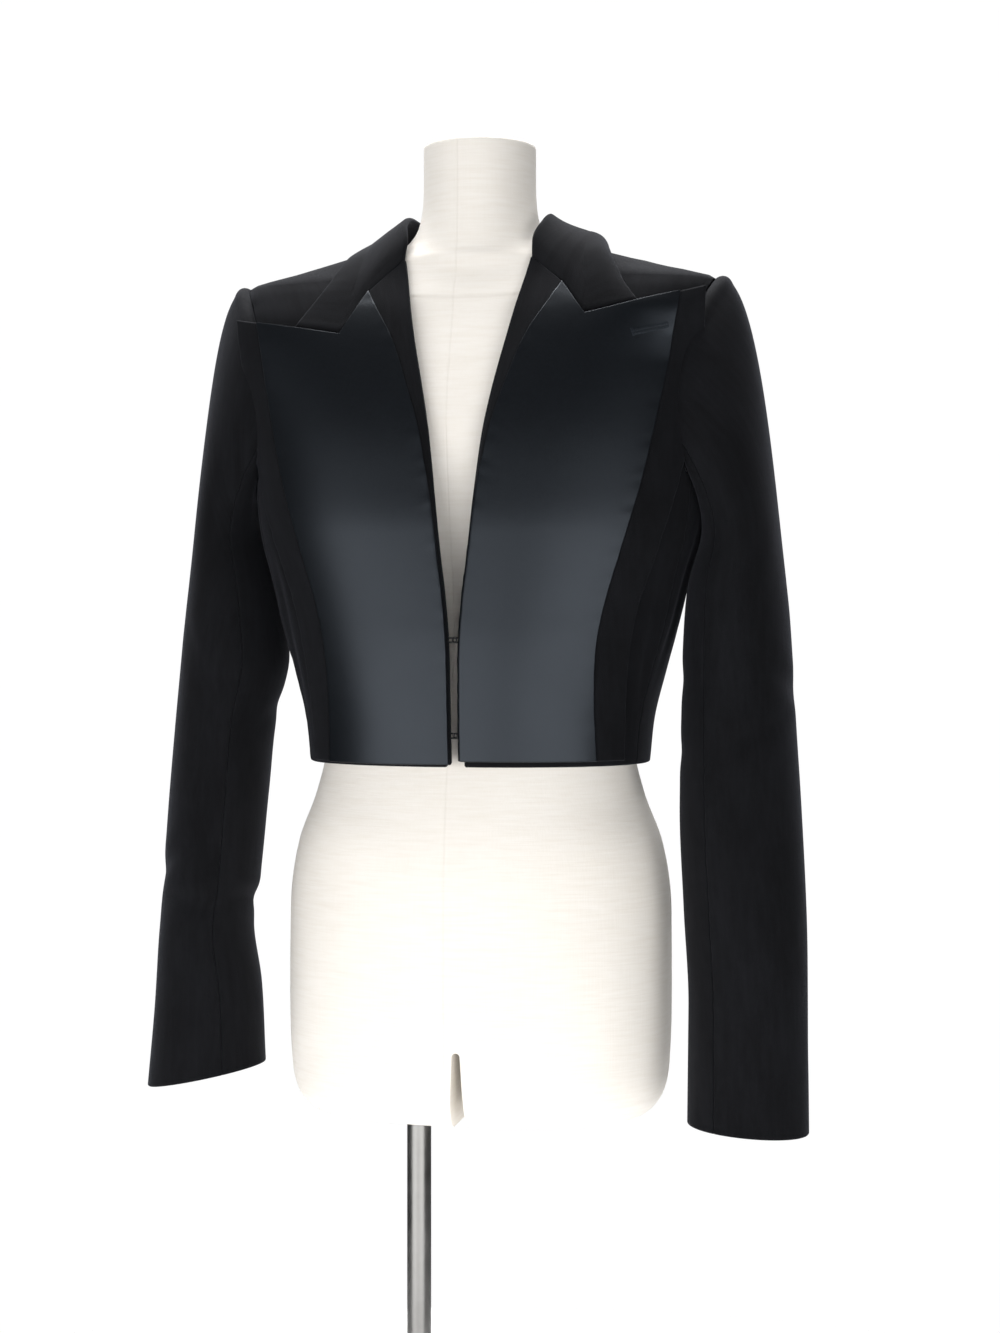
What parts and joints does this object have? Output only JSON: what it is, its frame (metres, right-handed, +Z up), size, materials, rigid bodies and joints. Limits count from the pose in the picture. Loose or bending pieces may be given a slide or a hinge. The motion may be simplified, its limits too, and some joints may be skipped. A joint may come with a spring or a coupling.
{
  "type": "cropped jacket on a dress form",
  "caption": "Cropped velvet evening jacket with satin-faced peak lapels folded back to the hem, hook-and-eye front and two-piece sleeves, on a limbless dress form with a pole stand.",
  "frame": {"origin": "on the floor, at the middle of the round base's underside", "axes": "+Z up, the jacket faces -Y, the wearer's left side is +X"},
  "size_m": [0.522, 0.3, 1.2145],
  "materials": {
    "velvet": "black short-pile velvet",
    "satin": "black satin with a soft sheen",
    "hook_metal": "black enamelled wire",
    "form_cover": "plain cream linen cover",
    "steel": "bright chromed steel"
  },
  "bodies": {
    "root": {"back": "velvet", "side_left": "velvet", "side_right": "velvet", "front_left": "velvet", "front_right": "velvet", "lapel_left": "velvet", "lapel_right": "velvet", "lapel_satin_left": "satin", "lapel_satin_right": "satin", "collar_fall": "velvet", "collar_stand": "velvet", "sleeve_upper_left": "velvet", "sleeve_upper_right": "velvet", "sleeve_under_left": "velvet", "sleeve_under_right": "velvet", "hook_upper": "hook_metal", "hook_lower": "hook_metal", "eye_upper": "hook_metal", "eye_lower": "hook_metal", "form_torso": "form_cover", "stand_pole": "steel", "stand_foot": "steel", "stand_base": "steel"}
  },
  "joints": []
}
